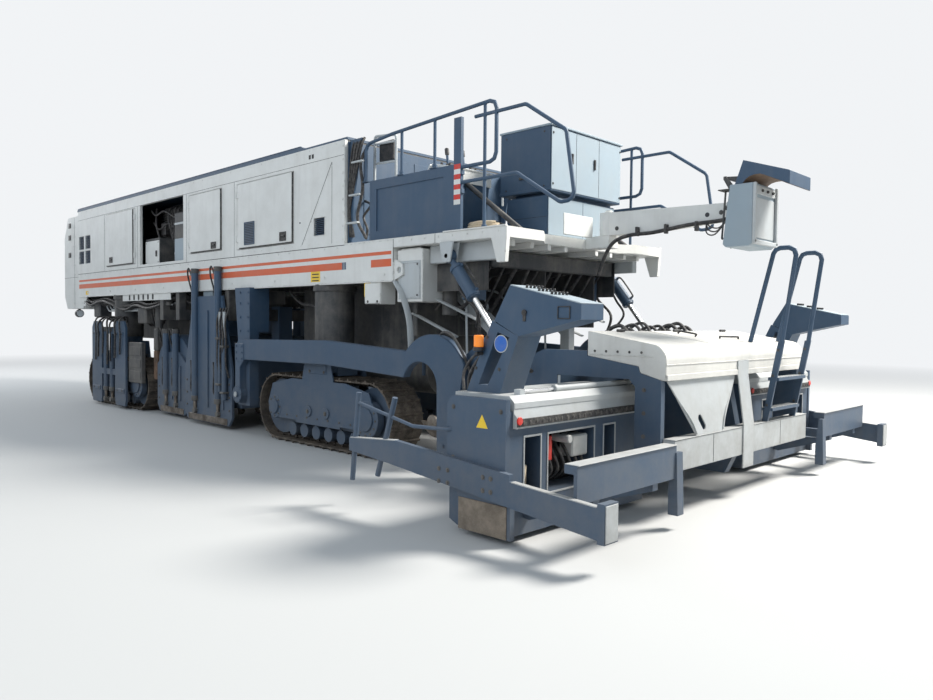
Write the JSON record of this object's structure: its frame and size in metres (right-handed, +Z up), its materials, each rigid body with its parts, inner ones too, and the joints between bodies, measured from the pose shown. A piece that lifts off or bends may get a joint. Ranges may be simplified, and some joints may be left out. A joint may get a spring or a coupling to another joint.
{
  "type": "cold recycler on four crawlers with side-shifting rotors and a towed screed",
  "caption": "Long cold recycling machine on steered crawlers: deep frame, engine housing, two rotor hoods, bent tow arms, wide screed with walkway and a console boom.",
  "frame": {"origin": "on the ground at the middle of the machine's length and width", "axes": "+X forward, +Y the machine's left, +Z up"},
  "size_m": [15.5, 6.1, 4],
  "materials": {
    "body_white": "dusty satin paint",
    "slate_blue": "satin paint, dusty",
    "dark_steel": "oily matt paint",
    "worn_steel": "dusty worn steel",
    "pale_steel": "galvanised, dirty",
    "hood_white": "dull paint",
    "rod_chrome": "polished"
  },
  "bodies": {
    "root": {"frame_beams": "body_white", "underframe": "dark_steel", "frame_deck": "body_white", "housing_side_left": "body_white", "housing_side_right": "body_white", "housing_bulkheads": "dark_steel", "housing_roof": "slate_blue", "engine_block": "dark_steel", "service_bay": "dark_steel", "front_housing": "body_white", "towing_clevis": "slate_blue", "mixer_trough": "dark_steel", "platform": "body_white", "platform_braces": "pale_steel", "operator_desks": "slate_blue", "cabinet": "slate_blue", "service_boxes": "body_white", "auger_carrier": "pale_steel", "tow_towers": "slate_blue", "platform_side_left": "slate_blue", "platform_side_right": "slate_blue"},
    "unit_rear": {"rotor_hood_rear": "slate_blue"},
    "unit_front": {"rotor_hood_front": "slate_blue"},
    "drum_rear": {"rotor_rear": "worn_steel"},
    "drum_front": {"rotor_front": "worn_steel"},
    "screed": {"tow_arms": "slate_blue", "screed_frame": "slate_blue", "screed_hood": "hood_white", "screed_deflector": "pale_steel", "walkway_centre": "pale_steel", "screed_ladder": "slate_blue"},
    "auger_left": {"auger_left": "worn_steel"},
    "auger_right": {"auger_right": "worn_steel"},
    "lift_barrels": {"lift_barrels": "slate_blue"},
    "lift_rods": {"lift_rods": "rod_chrome"},
    "boom": {"boom_arm": "body_white", "console_box": "pale_steel"},
    "console_lid": {"console_lid": "slate_blue"},
    "extension_left": {"extension_left": "slate_blue", "extension_top_left": "pale_steel", "end_gate_left": "slate_blue"},
    "extension_right": {"extension_right": "slate_blue", "extension_top_right": "pale_steel", "end_gate_right": "slate_blue"},
    "crawler_front_left": {"crawler_front_left": "slate_blue", "track_front_left": "worn_steel"},
    "crawler_front_right": {"crawler_front_right": "slate_blue", "track_front_right": "worn_steel"},
    "crawler_rear_left": {"crawler_rear_left": "slate_blue", "track_rear_left": "worn_steel"},
    "crawler_rear_right": {"crawler_rear_right": "slate_blue", "track_rear_right": "worn_steel"},
    "door_left_1": {"door_left_1": "body_white"},
    "door_left_3": {"door_left_3": "body_white"},
    "door_left_4": {"door_left_4": "body_white"},
    "door_right_1": {"door_right_1": "body_white"},
    "door_right_2": {"door_right_2": "body_white"},
    "door_right_3": {"door_right_3": "body_white"},
    "door_right_4": {"door_right_4": "body_white"}
  },
  "joints": [
    {"name": "door_left_1_hinge", "type": "hinge", "parent": "root", "child": "door_left_1", "pos_m": [3.626, 1.5123, 3.2], "axis": [0, 0, 1], "range_deg": [0, 110]},
    {"name": "door_left_3_hinge", "type": "hinge", "parent": "root", "child": "door_left_3", "pos_m": [1.474, 1.5123, 3.2], "axis": [0, 0, -1], "range_deg": [0, 110]},
    {"name": "door_left_4_hinge", "type": "hinge", "parent": "root", "child": "door_left_4", "pos_m": [-0.096, 1.5123, 3.2], "axis": [0, 0, -1], "range_deg": [0, 110]},
    {"name": "door_right_1_hinge", "type": "hinge", "parent": "root", "child": "door_right_1", "pos_m": [5.004, -1.5123, 3.2], "axis": [0, 0, 1], "range_deg": [0, 110]},
    {"name": "door_right_2_hinge", "type": "hinge", "parent": "root", "child": "door_right_2", "pos_m": [3.424, -1.5123, 3.2], "axis": [0, 0, 1], "range_deg": [0, 110]},
    {"name": "door_right_3_hinge", "type": "hinge", "parent": "root", "child": "door_right_3", "pos_m": [1.474, -1.5123, 3.2], "axis": [0, 0, 1], "range_deg": [0, 110]},
    {"name": "door_right_4_hinge", "type": "hinge", "parent": "root", "child": "door_right_4", "pos_m": [-0.096, -1.5123, 3.2], "axis": [0, 0, 1], "range_deg": [0, 110]},
    {"name": "steer_front_left", "type": "hinge", "parent": "root", "child": "crawler_front_left", "pos_m": [4.6, 1.23, 1.3], "axis": [0, 0, 1], "range_deg": [-12, 12]},
    {"name": "steer_front_right", "type": "hinge", "parent": "root", "child": "crawler_front_right", "pos_m": [4.6, -1.23, 1.3], "axis": [0, 0, 1], "range_deg": [-12, 12]},
    {"name": "steer_rear_left", "type": "hinge", "parent": "root", "child": "crawler_rear_left", "pos_m": [-2.2, 1.23, 1.3], "axis": [0, 0, 1], "range_deg": [-12, 12]},
    {"name": "steer_rear_right", "type": "hinge", "parent": "root", "child": "crawler_rear_right", "pos_m": [-2.2, -1.23, 1.3], "axis": [0, 0, 1], "range_deg": [-12, 12]},
    {"name": "unit_rear_shift", "type": "slide", "parent": "root", "child": "unit_rear", "axis": [0, 1, 0], "range_m": [0, 0.7]},
    {"name": "rotor_rear_spin", "type": "hinge", "parent": "unit_rear", "child": "drum_rear", "pos_m": [0.74, 0, 0.65], "axis": [0, 1, 0], "continuous": true},
    {"name": "unit_front_shift", "type": "slide", "parent": "root", "child": "unit_front", "axis": [0, -1, 0], "range_m": [0, 0.7]},
    {"name": "rotor_front_spin", "type": "hinge", "parent": "unit_front", "child": "drum_front", "pos_m": [2.25, 0, 0.65], "axis": [0, 1, 0], "continuous": true},
    {"name": "screed_lift", "type": "hinge", "parent": "root", "child": "screed", "pos_m": [-0.44, 0, 0.6], "axis": [0, 1, 0], "range_deg": [0, 5]},
    {"name": "extension_left_slide", "type": "slide", "parent": "screed", "child": "extension_left", "axis": [0, -1, 0], "range_m": [0, 1]},
    {"name": "auger_left_spin", "type": "hinge", "parent": "root", "child": "auger_left", "pos_m": [-4.37, 0, 0.56], "axis": [0, 1, 0], "continuous": true},
    {"name": "extension_right_slide", "type": "slide", "parent": "screed", "child": "extension_right", "axis": [0, 1, 0], "range_m": [0, 1]},
    {"name": "auger_right_spin", "type": "hinge", "parent": "root", "child": "auger_right", "pos_m": [-4.37, 0, 0.56], "axis": [0, 1, 0], "continuous": true},
    {"name": "lift_cylinder_swing", "type": "hinge", "parent": "root", "child": "lift_barrels", "pos_m": [-4.63, 0, 2.38], "axis": [0, 1, 0], "range_deg": [0, 14.79]},
    {"name": "lift_rod_slide", "type": "slide", "parent": "lift_barrels", "child": "lift_rods", "axis": [-0.6376, 0, -0.7704], "range_m": [-0.36439, 0]},
    {"name": "boom_swivel", "type": "hinge", "parent": "root", "child": "boom", "pos_m": [-5.56, -0.15, 2.8], "axis": [0, 0, -1], "range_deg": [0, 40]},
    {"name": "console_lid_hinge", "type": "hinge", "parent": "boom", "child": "console_lid", "pos_m": [-7.11, 0, 3.085], "axis": [0, 1, 0], "range_deg": [0, 70]}
  ],
  "couplings": [
    {"joint": "steer_front_right", "follows": "steer_front_left", "ratio": 1},
    {"joint": "steer_rear_right", "follows": "steer_rear_left", "ratio": 1},
    {"joint": "lift_cylinder_swing", "follows": "screed_lift", "ratio": 2.9552},
    {"joint": "lift_rod_slide", "follows": "screed_lift", "m_per_rad": -4.1733}
  ]
}
